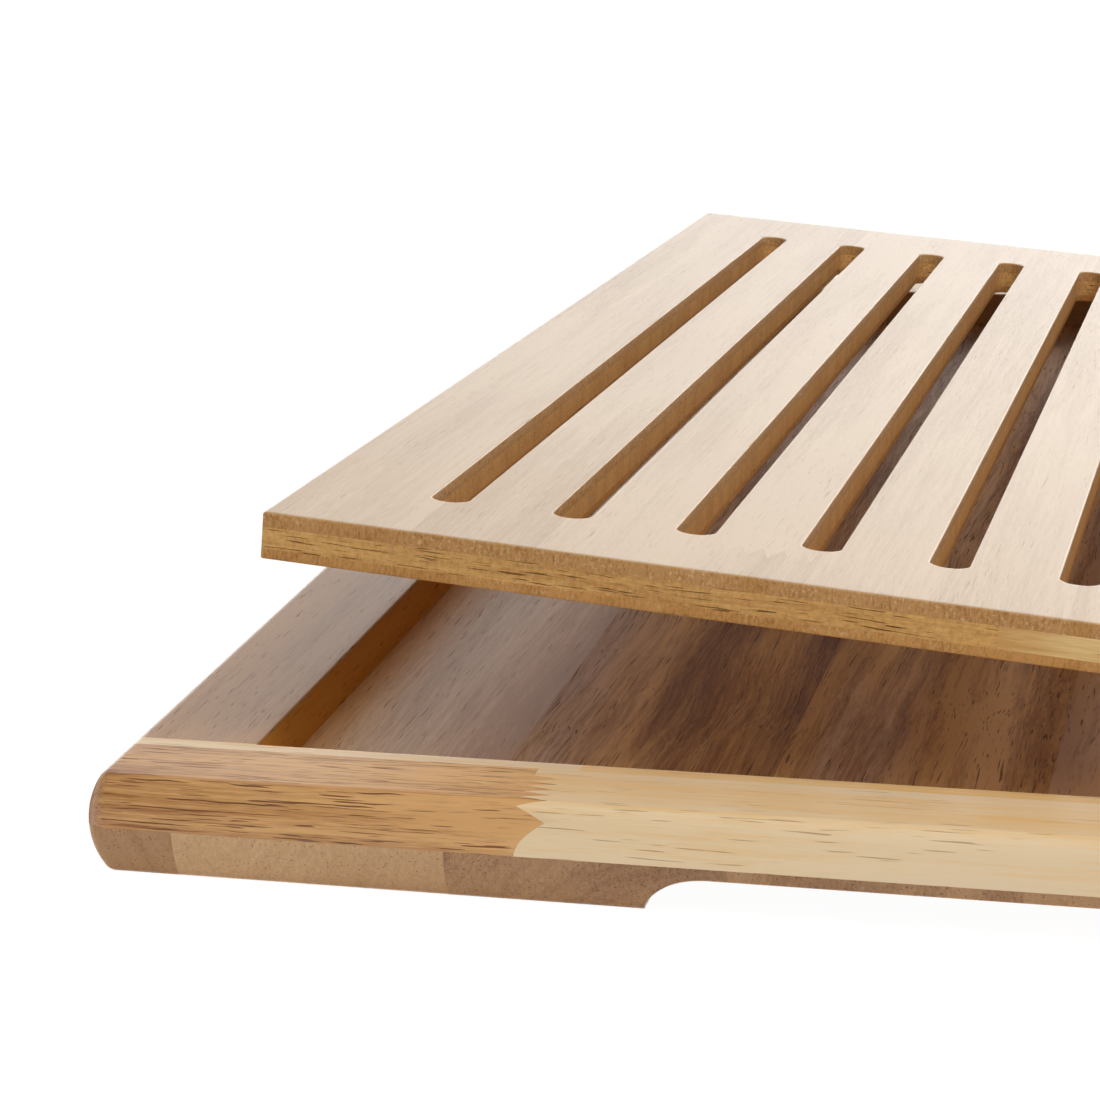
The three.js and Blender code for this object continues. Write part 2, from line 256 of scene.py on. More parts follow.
# How the wood's patterns are drawn. scales: noise per millimetre, along the grain and the two ways across
# it; bands: the stretch of noise, or of end grain, over which a pattern comes in; amounts: how much of it
grainPattern = dict(
    scales=dict(
        wander=(0.009, 0.022, 0.022), broad=(0.006, 0.045, 0.045), fibre=(0.03, 1.1, 1.1),
        fine=(0.22, 4.2, 4.2), dots=(2.6, 2.6, 2.6), split=(0.05, 1.5, 1.5), fuzz=(0.9, 1.7, 0.7),
        patch=(0.025, 0.06, 0.06), tornHighlights=(0.7, 1.5, 1.1),
    ),
    bands=dict(
        rings=(0.38, 0.64), dots=(0.735, 0.8), dotEnd=(0.6, 0.95), split=(0.7, 0.75), tornEnd=(0.5, 0.95),
        patch=(0.44, 0.58), tornHighlights=(0.52, 0.68), stain=(0.42, 0.62), endLines=(0.4, 0.65),
    ),
    amounts=dict(
        dots=0.5, tornHighlights=0.45, broad=1.2, fibre=2.6, fine=1.6, fuzz=3.0, sawnEnd=0.75, endLines=0.08,
        endRings=0.5, speckle=3.0, poresOnEnd=0.5,
    ),
    rings=dict(along=0.0045, around=0.6, lineGap=1.3, lineAlong=0.02),
    pores=dict(start=0.74, share=0.1, broad=0.16, edge=0.055),
    roughness=dict(least=0.3, fine=0.12, holes=0.3, torn=0.35),
    height=dict(fibre=0.25, fine=0.15, fuzz=2.0),
    # mark is the colour of the painted highlight on torn fibres
    shade=(0.62, 0.54, 0.46, 1.0), tornHighlightColour=(0.8, 0.6, 0.37, 1.0),
)


# One group for every wood: the point in the tree goes in, and colour, roughness and height come out
def makeWoodGroup():
    group = bpy.data.node_groups.new("rubberwood", "ShaderNodeTree")
    sockets = group.interface
    sockets.new_socket("Tree", in_out="INPUT", socket_type="NodeSocketVector")
    for name in ("Tone", "Cut", "End"):
        sockets.new_socket(name, in_out="INPUT", socket_type="NodeSocketFloat")
    for name in ("Pale", "Deep", "Stain", "End grain", "Pore"):
        sockets.new_socket(name, in_out="INPUT", socket_type="NodeSocketColor")
    for name, value in (("Ring spacing", 6), ("Ring strength", 0.5), ("Wander", 3), ("Stain share", 0.3),
                        ("Fibre strength", 0.4), ("Pore strength", 0.6), ("Pore length", 7),
                        ("Pore gap", 0.5), ("Pore share", 0.5), ("Split strength", 0), ("Fuzz", 0),
                        ("Sawn share", 0.6)):
        socket = sockets.new_socket(name, in_out="INPUT", socket_type="NodeSocketFloat")
        socket.default_value = value
    sockets.new_socket("Color", in_out="OUTPUT", socket_type="NodeSocketColor")
    for name in ("Roughness", "Height"):
        sockets.new_socket(name, in_out="OUTPUT", socket_type="NodeSocketFloat")
    entry = group.nodes.new("NodeGroupInput").outputs
    final = group.nodes.new("NodeGroupOutput").inputs
    scales, bands, amounts = (grainPattern[key] for key in ("scales", "bands", "amounts"))
    rings, pore, rough = (grainPattern[key] for key in ("rings", "pores", "roughness"))

    def noise(vector, detail=1.0, roughness=0.5):
        node = addNode(group, "ShaderNodeTexNoise", links={"Vector": vector},
                       values={"Scale": 1, "Detail": detail, "Roughness": roughness})
        return node.outputs

    # The grain wanders sideways by slow noise
    slow = noise(scaled(group, entry["Tree"], scales["wander"]), 3, 0.55)
    centred = addNode(group, "ShaderNodeVectorMath", operation="SUBTRACT", links={0: slow["Color"]})
    centred.inputs[1].default_value = (0.5, 0.5, 0.5)
    wander = addNode(group, "ShaderNodeCombineXYZ", links={1: entry["Wander"], 2: entry["Wander"]})
    moved = addNode(group, "ShaderNodeVectorMath", operation="MULTIPLY_ADD",
                    links={0: centred.outputs[0], 1: wander.outputs[0], 2: entry["Tree"]})
    vector = moved.outputs[0]
    parts = addNode(group, "ShaderNodeSeparateXYZ", links={0: vector})
    along, out, up = parts.outputs

    # Growth rings: noise read along the distance from the pith
    fromPith = maths(group, "SQRT", plus(group, times(group, out, out), times(group, up, up)))
    ringPlace = addNode(group, "ShaderNodeCombineXYZ", links={
        0: maths(group, "DIVIDE", fromPith, entry["Ring spacing"]),
        1: times(group, along, rings["along"]),
        2: times(group, maths(group, "ARCTAN2", up, out), rings["around"])})
    ringMask = ramped(group, noise(ringPlace.outputs[0], 4, 0.62)["Fac"], *bands["rings"])

    # Broad patches of tone, of a second colour and of pores, long in the grain
    broad = noise(scaled(group, vector, scales["broad"]), 2)
    toneBroad, stainBroad, poreBroad = addNode(
        group, "ShaderNodeSeparateColor", links={0: broad["Color"]}).outputs

    # Fibres: fine noise drawn out along the grain
    fibre = noise(scaled(group, vector, scales["fibre"]), 3, 0.65)["Fac"]
    fine = noise(scaled(group, vector, scales["fine"]), 2, 0.6)["Fac"]

    # Pores: peaks of noise drawn out along the grain
    poreScale = addNode(group, "ShaderNodeCombineXYZ", links={
        0: maths(group, "DIVIDE", 1.0, entry["Pore length"]),
        1: maths(group, "DIVIDE", 1.0, entry["Pore gap"]),
        2: maths(group, "DIVIDE", 1.0, entry["Pore gap"])})
    poreNoise = noise(scaled(group, vector, poreScale.outputs[0]), 1, 0.35)["Fac"]
    poreStart = minus(group, pore["start"], times(group, entry["Pore share"], pore["share"]))
    poreStart = minus(group, poreStart, times(group, minus(group, poreBroad, 0.5), pore["broad"]))
    pores = ramped(group, poreNoise, poreStart, plus(group, poreStart, pore["edge"]))

    # Dots: pores cut across, on end grain
    dotNoise = noise(scaled(group, entry["Tree"], scales["dots"]), 0)["Fac"]
    dots = times(group, ramped(group, dotNoise, *bands["dots"]),
                 times(group, ramped(group, entry["End"], *bands["dotEnd"]), amounts["dots"]))

    # Splits: rarer peaks of coarser noise, long dark lines
    splitNoise = noise(scaled(group, vector, scales["split"]), 1, 0.3)["Fac"]
    split = times(group, ramped(group, splitNoise, *bands["split"]), entry["Split strength"])

    # Fuzz: torn fibres on cut faces and end grain, short marks that stand up
    fuzz = noise(scaled(group, entry["Tree"], scales["fuzz"]), 4, 0.75)["Fac"]
    torn = maths(group, "MAXIMUM", entry["Cut"], ramped(group, entry["End"], *bands["tornEnd"]))
    fuzzPart = times(group, minus(group, fuzz, 0.5), times(group, entry["Fuzz"], torn))

    # Painted highlights where torn fibres catch the light, in patches of pale flecks on cut faces and end
    # grain
    patch = ramped(group, noise(scaled(group, entry["Tree"], scales["patch"]), 1)["Fac"], *bands["patch"])
    tornHighlights = ramped(group, noise(scaled(group, entry["Tree"], scales["tornHighlights"]), 3, 0.7)["Fac"],
                   *bands["tornHighlights"])
    tornHighlights = times(group, times(group, tornHighlights, patch),
                  times(group, times(group, torn, entry["Fuzz"]), amounts["tornHighlights"]), clamp=True)

    # Colour: from pale, with a second colour in patches, to deep by rings, broad tone, fibres and fuzz
    ringPart = times(group, ringMask, entry["Ring strength"])
    broadPart = times(group, minus(group, toneBroad, 0.5), amounts["broad"])
    fibrePart = times(group, minus(group, fibre, 0.5),
                      times(group, entry["Fibre strength"], amounts["fibre"]))
    finePart = times(group, minus(group, fine, 0.5),
                     times(group, entry["Fibre strength"], amounts["fine"]))
    depth = plus(group, plus(group, ringPart, broadPart), plus(group, fibrePart, finePart))
    depth = plus(group, depth, times(group, fuzzPart, amounts["fuzz"]))
    depth = plus(group, depth, entry["Tone"], clamp=True)
    stainMask = times(group, ramped(group, stainBroad, *bands["stain"]), entry["Stain share"])
    stainMask = times(group, stainMask, minus(group, 1.0, entry["End"]))
    colour = mixed(group, depth, mixed(group, stainMask, entry["Pale"], entry["Stain"]), entry["Deep"])

    # Sawn faces turn to the colour of end grain, with growth lines and speckles on it
    sawn = maths(group, "MAXIMUM", times(group, entry["End"], amounts["sawnEnd"]),
                 times(group, entry["Cut"], entry["Sawn share"]))
    colour = mixed(group, sawn, colour, entry["End grain"])
    linePlace = addNode(group, "ShaderNodeCombineXYZ", links={
        0: maths(group, "DIVIDE", fromPith, rings["lineGap"]),
        1: times(group, along, rings["lineAlong"])})
    endLine = ramped(group, noise(linePlace.outputs[0], 1)["Fac"], *bands["endLines"])
    endShade = times(group, entry["End"], plus(
        group, times(group, endLine, amounts["endLines"]),
        times(group, times(group, ringMask, entry["Ring strength"]), amounts["endRings"])))
    speckle = times(group, minus(group, fuzz, 0.5), times(group, torn, amounts["speckle"]))
    endShade = plus(group, endShade, times(group, speckle, entry["Fuzz"]), clamp=True)
    shaded = mixed(group, 1.0, colour, grainPattern["shade"], "MULTIPLY")
    colour = mixed(group, endShade, colour, shaded)
    # The painted highlight on torn fibres lies over the colour
    colour = mixed(group, tornHighlights, colour, grainPattern["tornHighlightColour"])

    # Pores, splits and dots lie over it all
    shown = times(group, entry["Pore strength"],
                  minus(group, 1.0, times(group, entry["End"], amounts["poresOnEnd"])))
    holes = maths(group, "MAXIMUM", times(group, pores, shown), split, clamp=True)
    holes = maths(group, "MAXIMUM", holes, dots)
    group.links.new(mixed(group, holes, colour, entry["Pore"]), final["Color"])
    roughness = plus(group, rough["least"], times(group, fine, rough["fine"]))
    roughness = plus(group, roughness, times(group, holes, rough["holes"]), clamp=True)
    roughness = plus(group, roughness, times(group, torn, rough["torn"]), clamp=True)
    group.links.new(roughness, final["Roughness"])
    rise = grainPattern["height"]
    height = minus(group, times(group, fibre, rise["fibre"]), holes)
    height = plus(group, height, times(group, fine, rise["fine"]))
    height = plus(group, height, times(group, fuzzPart, rise["fuzz"]))
    group.links.new(height, final["Height"])
    return group


# sRGB colour as written, to the linear value that a socket holds
def colourOf(red, green, blue):
    def straight(c):
        c = c / 255
        return c / 12.92 if c <= 0.04045 else ((c + 0.055) / 1.055) ** 2.4
    return (straight(red), straight(green), straight(blue), 1)


woodGroup = makeWoodGroup()
finish = dict(index=1.5, sawnShine=0.12)


# A planed face's material; values are the group's own, with their names written with underscores
def makeWood(name, pale, deep, stain, end, pore, relief=0.1, shine=0.5, **values):
    material = bpy.data.materials.new(name)
    material.use_nodes = True
    tree = material.node_tree
    shader = tree.nodes["Principled BSDF"]
    wood = tree.nodes.new("ShaderNodeGroup")
    wood.node_tree = woodGroup
    for attribute, output in (("tree", "Vector"), ("tone", "Fac"), ("cut", "Fac"), ("end", "Fac")):
        source = addNode(tree, "ShaderNodeAttribute", attribute_name=attribute)
        tree.links.new(source.outputs[output], wood.inputs[attribute.capitalize()])
    colours = {"Pale": pale, "Deep": deep, "Stain": stain, "End grain": end, "Pore": pore}
    for key, colour in colours.items():
        wood.inputs[key].default_value = colourOf(*colour)
    for key, value in values.items():
        wood.inputs[key.replace("_", " ")].default_value = value
    bump = addNode(tree, "ShaderNodeBump", values={"Strength": 1, "Distance": relief * millimetre},
                   links={"Height": wood.outputs["Height"]})
    tree.links.new(wood.outputs["Color"], shader.inputs["Base Color"])
    tree.links.new(wood.outputs["Roughness"], shader.inputs["Roughness"])
    tree.links.new(bump.outputs["Normal"], shader.inputs["Normal"])
    shader.inputs["IOR"].default_value = finish["index"]
    shader.inputs["Specular IOR Level"].default_value = shine
    return material


# A sawn face's material differs only in how little it shines
def sawnCopy(material):
    sawn = material.copy()
    sawn.name = f"{material.name}Sawn"
    sawn.node_tree.nodes["Principled BSDF"].inputs["Specular IOR Level"].default_value = finish["sawnShine"]
    return sawn


# Colours in order: pale, deep, stain, end grain, pores
woods = dict(
    floorBrown=makeWood(
        "floorBrown", (222, 168, 104), (140, 86, 42), (206, 168, 138), (177, 142, 114), (84, 46, 18),
        Ring_spacing=7, Ring_strength=0.65, Wander=12, Stain_share=0.75, Fibre_strength=0.6,
        Pore_strength=0.7, Pore_length=16, Pore_gap=0.38, Pore_share=0.8, Fuzz=0.35, shine=0.06),
    floorPale=makeWood(
        "floorPale", (228, 186, 134), (180, 126, 70), (212, 170, 134), (222, 184, 144), (104, 64, 34),
        Ring_spacing=9, Ring_strength=0.35, Wander=7, Stain_share=0.6, Fibre_strength=0.55,
        Pore_strength=0.5, Pore_length=9, Pore_gap=0.36, Fuzz=0.3, shine=0.45),
    sideRail=makeWood(
        "sideRail", (186, 138, 88), (138, 94, 50), (162, 124, 94), (226, 152, 36), (66, 38, 20),
        Ring_spacing=10, Ring_strength=0.5, Stain_share=0.5, Pore_strength=0.65, Pore_length=7,
        Pore_gap=0.34, shine=0.42),
    warmLath=makeWood(
        "warmLath", (224, 174, 110), (158, 102, 50), (198, 142, 94), (190, 140, 100), (104, 46, 8),
        Ring_spacing=5, Ring_strength=0.5, Fibre_strength=0.7, Pore_strength=0.85, Pore_length=11,
        Pore_gap=0.28, Pore_share=1.1, Split_strength=0.5, Fuzz=0.4, shine=0.4),
    creamLath=makeWood(
        "creamLath", (237, 210, 169), (234, 188, 116), (226, 202, 170), (200, 160, 116), (152, 96, 34),
        Ring_spacing=5, Ring_strength=0.6, Fibre_strength=0.55, Pore_strength=0.55, Pore_length=12,
        Pore_gap=0.36, Pore_share=0.5),
    # The top ply's planed faces are paler and greyer than the ochre of its sawn faces: partly the wood's own
    # colour and partly a painted sheen, with its shine set lower to match
    insertTop=makeWood(
        "insertTop", (203, 174, 138), (176, 142, 100), (192, 160, 128), (196, 140, 74), (112, 76, 42),
        Ring_spacing=10, Ring_strength=0.45, Pore_strength=0.24, Pore_length=9, Pore_gap=0.32, Fuzz=1.2,
        shine=0.37),
    insertCore=makeWood(
        "insertCore", (226, 178, 108), (176, 126, 70), (208, 158, 92), (224, 172, 110), (80, 46, 18),
        Ring_spacing=5, Ring_strength=0.45, Fibre_strength=0.6, Pore_strength=0.75, Pore_length=7,
        Pore_gap=0.26, Pore_share=1.1, Fuzz=0.5, Sawn_share=0.15),
    corePale=makeWood(
        "corePale", (238, 206, 146), (200, 150, 88), (228, 194, 132), (234, 198, 136), (120, 80, 36),
        Ring_spacing=5, Ring_strength=0.4, Fibre_strength=0.6, Pore_strength=0.6, Pore_length=6,
        Pore_gap=0.3, Pore_share=0.5, Sawn_share=0.15),
    insertBottom=makeWood(
        "insertBottom", (200, 150, 90), (150, 102, 52), (180, 136, 84), (206, 152, 90), (84, 50, 22),
        Ring_spacing=6, Ring_strength=0.5, Pore_strength=0.5, Fuzz=1.0),
)

# The open cracks along the front rail's left lath: middle along it, height, half length, width, slope
cracks = dict(
    colour=(82, 42, 14), strength=0.85, waves=0.8, waveHeight=0.06, core=0.4,
    lines=(
        (-132, 15.7, 9.4, 0.19, -0.004), (-109.6, 16.45, 4.4, 0.19, -0.012), (-121, 10.8, 2.3, 0.24, -0.07),
        (-117.4, 9.95, 2.6, 0.2, -0.03), (-110.5, 10.05, 3.2, 0.22, -0.03), (-145.4, 10.2, 3, 0.15, 0),
        (-147, 18.45, 6.8, 0.15, 0.004), (-129.3, 18.5, 4.4, 0.17, -0.03), (-105, 18.6, 4.8, 0.14, 0.01),
        (-97, 13.3, 4.5, 0.11, -0.03), (-152, 13.6, 3.6, 0.13, 0.02), (-137, 12.6, 4, 0.1, -0.02),
        (-103, 10.9, 3.8, 0.12, -0.03), (-127, 11.9, 3.2, 0.1, -0.03),
    ),
)
lathPith = (300, 262, 12)


# A crack: dark where a point's height is within its width of a sloping, slightly wavy line. The width
# narrows to nothing at both tips, by 1 - s^2 at a share s of the half length
def makeCrackGroup():
    group = bpy.data.node_groups.new("crack", "ShaderNodeTree")
    sockets = group.interface
    sockets.new_socket("Tree", in_out="INPUT", socket_type="NodeSocketVector")
    for name in ("Middle", "Height", "Reach", "Width", "Slope"):
        sockets.new_socket(name, in_out="INPUT", socket_type="NodeSocketFloat")
    sockets.new_socket("Mask", in_out="OUTPUT", socket_type="NodeSocketFloat")
    entry = group.nodes.new("NodeGroupInput").outputs
    final = group.nodes.new("NodeGroupOutput").inputs
    along, _, up = addNode(group, "ShaderNodeSeparateXYZ", links={0: entry["Tree"]}).outputs
    past = minus(group, along, entry["Middle"])
    share = maths(group, "DIVIDE", past, entry["Reach"])
    narrow = minus(group, 1.0, times(group, share, share))
    line = plus(group, entry["Height"], times(group, past, entry["Slope"]))
    wave = times(group, maths(group, "SINE", times(group, past, cracks["waves"])), cracks["waveHeight"])
    off = maths(group, "ABSOLUTE", minus(group, up, plus(group, line, wave)))
    width = maths(group, "MAXIMUM", times(group, entry["Width"], narrow), 0.0001)
    group.links.new(ramped(group, off, times(group, width, cracks["core"]), width, 1.0, 0.0), final["Mask"])
    return group


crackGroup = makeCrackGroup()


# The largest mask of all the cracks mixes their colour over the material's own
def addCracks(material):
    tree = material.node_tree
    shader = tree.nodes["Principled BSDF"]
    place = addNode(tree, "ShaderNodeAttribute", attribute_name="tree")
    covered = 0.0
    for middle, height, reach, width, slope in cracks["lines"]:
        crack = tree.nodes.new("ShaderNodeGroup")
        crack.node_tree = crackGroup
        fill(tree, crack, (("Tree", place.outputs["Vector"]), ("Middle", middle + lathPith[0]),
                           ("Height", height + lathPith[2]), ("Reach", reach), ("Width", width),
                           ("Slope", slope)))
        covered = maths(tree, "MAXIMUM", crack.outputs["Mask"], covered)
    covered = times(tree, covered, cracks["strength"])
    plain = shader.inputs["Base Color"].links[0].from_socket
    colour = mixed(tree, covered, plain, colourOf(*cracks["colour"]))
    tree.links.new(colour, shader.inputs["Base Color"])


addCracks(woods["warmLath"])
sawnWoods = {name: sawnCopy(material) for name, material in woods.items()}
print("woods made:", len(woods))

# Base: seven staves along the board, with a finger arch under each short end
baseStaves = dict(
    joints=(-161, -143.6, -92.833, -42.067, 8.7, 59.467, 110.233, 161),
    materials=("floorBrown", "floorPale") + ("floorBrown",) * 5,
    tones=((-0.6, -0.6), (-0.1, 0.7), (-0.15, 0.5), (0, -0.1), (-0.55, -0.5), (-0.45, -0.4), (-0.4, -0.3)),
    piths=((40, 230, 30), (410, 150, -26), (790, 38, 36), (1230, -80, 40), (1630, 60, -60),
           (2050, -130, 33), (2400, -30, 70)),
)
arch = dict(width=115, shoulder=12.5, height=7.2, depth=24, lip=1.3, steep=0.42)


# Rise of an arch shoulder: (s (2 - s))^2 with s = t^steep, short and steep at its foot
def shoulderRise(share):
    bent = np.clip(share, 0, 1) ** arch["steep"]
    return (bent * (2 - bent)) ** 2


# Arch height: rise across times rise along, with a round lip added at the end face
def archTop(x, y):
    inward = halfBoard - np.abs(y)
    across = shoulderRise((arch["width"] / 2 - np.abs(x)) / arch["shoulder"])
    along = shoulderRise((arch["depth"] - inward) / arch["shoulder"])
    lip = roundFall(np.maximum(inward, 0), arch["lip"])
    return across * (arch["height"] * along + lip)


# Underside: the side arc at the outline, flat on the table, raised by the arches
def underside(x, y):
    return np.maximum(halfHeight - sideArc(fromOutline(x, y)), archTop(x, y))


endLines = lines(
    sideSteps(10), arcSteps(board["cornerRadius"], 8), arcSteps(arch["lip"], 5),
    arch["depth"] - arch["shoulder"] * np.linspace(0, 1, 17) ** 2, np.arange(5, 30, 2.5),
)
baseRows = lines(-halfBoard + endLines, np.linspace(-205, 205, 42), halfBoard - endLines)
footLines = arch["width"] / 2 - arch["shoulder"] * np.linspace(0, 1, 21) ** 2
tolerance = 0.0001
for number, (left, right) in enumerate(zip(baseStaves["joints"][:-1], baseStaves["joints"][1:]), start=1):
    if number in (1, len(baseStaves["piths"])):
        edge = halfWidthAt(baseRows)
        nearLeft, nearRight = (sideSteps(10), nothing) if number == 1 else (nothing, sideSteps(10))
        x = spread(np.maximum(left, -edge), np.minimum(right, edge), nearLeft, 14, nearRight)
    else:
        places = lines(np.linspace(left, right, 15), footLines, -footLines)
        places = places[(places >= left - tolerance) & (places <= right + tolerance)]
        x = np.tile(places, (len(baseRows), 1))
    y = rowGrid(baseRows, x)
    grain = dict(run="y", pith=baseStaves["piths"][number - 1],
                 across=(0, (left, right), baseStaves["tones"][number - 1]))
    closedSheet(f"baseStave{number}", x, y, np.full(x.shape, recess["floor"]), underside(x, y), grain,
                "tray", [f"base_stave_{number}"], baseStaves["materials"][number - 1])
print("base staves made")

# Frame: end rails of an outer lath in two finger jointed lengths and a thin inner lath in two
endRail = dict(
    width=23, innerLath=3.5, joint=77.3, fingerLength=5.4, fingers=6, run=16, innerJoint=72.5, gap=0.05,
    backShift=900,
)
laths = dict(
    outer1=dict(material="warmLath", slot="warm_rail_wood", pith=lathPith,
                tones=dict(across=(0, (-halfWidth, -endRail["joint"]), (0.3, -0.15)))),
    outer2=dict(material="creamLath", slot="cream_rail_wood", pith=(620, 290, -45),
                tones=dict(across=(2, (board["height"] - 2, board["height"]), (-0.15, 0.15)))),
    inner1=dict(material="creamLath", slot="cream_rail_wood", pith=(140, 320, 20), tones=dict(tone=0)),
    inner2=dict(material="creamLath", slot="cream_rail_wood", pith=(480, 250, 30), tones=dict(tone=0.75)),
)
glueLine = halfBoard - endRail["width"] + endRail["innerLath"]


# Zigzag of the finger joint: distance across from its middle, against distance from the board's middle
def fingerEdge(y):
    share = np.clip((halfBoard - y) / endRail["run"], 0, 1) * endRail["fingers"]
    return -endRail["joint"] + endRail["fingerLength"] * (0.5 - 2 * np.abs(share % 1 - 0.5))


fingerRows = halfBoard - np.linspace(0, endRail["run"], 2 * endRail["fingers"] + 1)
rimAcross = lines(sideSteps(12), arcSteps(board["cornerRadius"], 8))


# One length of a lath; the back rail's are the front rail's turned round, from elsewhere in the tree
def railPiece(name, node, x, rows, turned, lath):
    along, out, up = lath["pith"]
    shift = endRail["backShift"] if turned else 0
    grain = dict(lath["tones"], run="x", pith=(shift + along, out, up))
    y = rowGrid(rows, x)
    place = Matrix.Rotation(math.pi, 4, "Z") if turned else None
    closedSheet(name, x, y, frameTop(x, y), np.full(x.shape, recess["floor"]), grain, "tray", [node],
                lath["material"], place)


# The four lengths of one end rail, on grids that follow its outline, joints and rounded edges
def endRailPieces(end, turned):
    first, second = ("right", "left") if turned else ("left", "right")
    rows = -lines(halfBoard - sideSteps(12), halfBoard - arcSteps(board["cornerRadius"], 10),
                  fingerRows, glueLine)[::-1]
    edge = fingerEdge(-rows)
    outer = halfWidthAt(rows)
    x = spread(-outer, edge - endRail["gap"] / 2, rimAcross, 30, nothing)
    railPiece(f"{end}OuterLath1", f"{end}_rail_outer_{first}", x, rows, turned, laths["outer1"])
    x = spread(edge + endRail["gap"] / 2, outer, nothing, 60, rimAcross)
    railPiece(f"{end}OuterLath2", f"{end}_rail_outer_{second}", x, rows, turned, laths["outer2"])
    recessEnd = -recess["length"] / 2
    rows = lines(-glueLine, np.linspace(-glueLine, recessEnd - recess["edgeRound"], 5),
                 recessEnd - arcSteps(recess["edgeRound"], 4))
    outer = halfWidthAt(rows)
    joint = np.full(len(rows), -endRail["innerJoint"])
    recessSide = np.full(len(rows), recess["width"] / 2)
    # Beside the recess its rounded edge goes on, so its lines do too
    fan = recessSide[:, None] + arcSteps(recess["edgeRound"], 4)
    x = np.hstack([spread(-outer, -recessSide - recess["edgeRound"], rimAcross, 8, nothing),
                   -fan[:, -2::-1], spread(-recessSide, joint, nothing, 20, nothing)[:, 1:]])
    railPiece(f"{end}InnerLath1", f"{end}_rail_inner_{first}", x, rows, turned, laths["inner1"])
    x = np.hstack([spread(joint, recessSide, nothing, 30, nothing)[:, :-1], fan[:, :-1],
                   spread(recessSide + recess["edgeRound"], outer, nothing, 8, rimAcross)])
    railPiece(f"{end}InnerLath2", f"{end}_rail_inner_{second}", x, rows, turned, laths["inner2"])


endRailPieces("front", False)
endRailPieces("back", True)

sideRails = dict(left=dict(pith=(70, 205, 60), tone=0.05), right=dict(pith=(900, -190, 45), tone=0.1))
sideRows = lines(np.linspace(-recess["length"] / 2, recess["length"] / 2, 60))
for side, rail in sideRails.items():
    inner = np.full(len(sideRows), recess["width"] / 2)
    x = spread(inner, halfWidthAt(sideRows), arcSteps(recess["edgeRound"], 4), 12, sideSteps(12))
    x = x if side == "right" else -x[:, ::-1]
    y = rowGrid(sideRows, x)
    closedSheet(f"{side}Rail", x, y, frameTop(x, y), np.full(x.shape, recess["floor"]),
                dict(rail, run="y"), "tray", [f"{side}_rail"], "sideRail")
print("frame made")

# Insert: three plies with slots, worked out flat from its front left corner, then lifted at its hinge
hinge = Matrix.Translation(Vector(insert["pivot"]))
turn = Matrix.Rotation(math.radians(insert["lift"]), 4, Vector(insert["axis"]).normalized())
lifted = hinge @ turn @ Matrix.Translation(Vector((-insert["width"], -insert["length"], 0)))
slotRadius = insert["slotWidth"] / 2
slotPitch = (insert["width"] - 2 * insert["sideMargin"] - insert["slotWidth"]) / (insert["slots"] - 1)
slotCentres = insert["sideMargin"] + slotRadius + slotPitch * np.arange(insert["slots"])
slotStart = insert["frontMargin"] + slotRadius
slotStop = insert["length"] - insert["backMargin"] - slotRadius


# Distance out from the nearest slot: to a line between the centres of its round ends, less the radius
def fromSlots(x, y):
    middle = y - np.clip(y, slotStart, slotStop)
    nearest = np.min(np.abs(x[..., None] - slotCentres), -1)
    return np.hypot(nearest, middle) - slotRadius


# Half width of a slot at y: a circle at each end, straight between
def slotHalf(y):
    middle = y - np.clip(y, slotStart, slotStop)
    return np.sqrt(np.maximum(slotRadius ** 2 - middle ** 2, 0))


# Fall of the insert's faces at its rounded outer edges and slot edges
def insertFall(x, y):
    edge = np.minimum(np.minimum(x, insert["width"] - x), np.minimum(y, insert["length"] - y))
    return roundFall(edge, insert["edgeRound"]) + roundFall(fromSlots(x, y), insert["slotRound"])


slotEndRows = np.concatenate([arcSteps(slotRadius, 12), -insert["slotRound"] * np.array([0.35, 0.75, 1.2])])
backEdge = insert["length"] - insert["backMargin"]
insertRows = lines(
    arcSteps(insert["edgeRound"], 4), np.linspace(1, insert["frontMargin"] - 1, 10),
    insert["frontMargin"] + slotEndRows, np.linspace(slotStart, slotStop, 56), backEdge - slotEndRows,
    np.linspace(backEdge + 1, insert["length"] - 1, 12), insert["length"] - arcSteps(insert["edgeRound"], 4),
)
edgeShares = arcSteps(0.0215, 4)
staveShares = lines(edgeShares, np.linspace(0, 1, 25), 1 - edgeShares)


# A stave's sides: the insert's side, or half of a slot; where the slots end, their centre line
def staveSides(number, y):
    slotCut = slotHalf(y)
    left = np.zeros(len(y)) if number == 1 else slotCentres[number - 2] + slotCut
    if number == insert["slots"] + 1:
        return left, np.full(len(y), insert["width"])
    return left, slotCentres[number - 1] - slotCut


# A piece of one ply, between two depths below the insert's top, rounded on its top or its bottom
def insertPiece(name, node, x, y, high, low, rounded, grain, material):
    fall = insertFall(x, y)
    upper = -high - (fall if rounded == "top" else 0) + np.zeros(x.shape)
    lower = -low + (fall if rounded == "bottom" else 0) + np.zeros(x.shape)
    closedSheet(name, x, y, upper, lower, grain, "insert", [node], material, lifted)


# A piece of the top ply
def topPiece(name, node, x, y, grain):
    insertPiece(name, node, x, y, 0, insert["coreTop"], "top", grain, "insertTop")


# Where each ply's staves lie in the tree: even steps along the grain, and a start, a step and the length
# of a cycle for both ways across it
plies = dict(
    top=dict(along=510, out=(60, 83, 3), up=(70, 37, 4),
             tones=(0.0, 0.12, -0.05, 0.05, 0.1, -0.08, 0.06, 0, 0.1, -0.05, 0.04)),
    bottom=dict(along=640, out=(45, 71, 4), up=(-60, -29, 3),
                tones=(0.0, 0.1, -0.1, 0.0, 0.1, -0.1, 0.0, 0.1, -0.1, 0.0, 0.1)),
)
# Stave 4 has a short length in front of a finger joint
pieced = dict(stave=4, joint=18, length=7, count=6, gap=0.05, beforeSlots=0.8, still=1,
              pith=(90, 130, 58), tone=0.22)


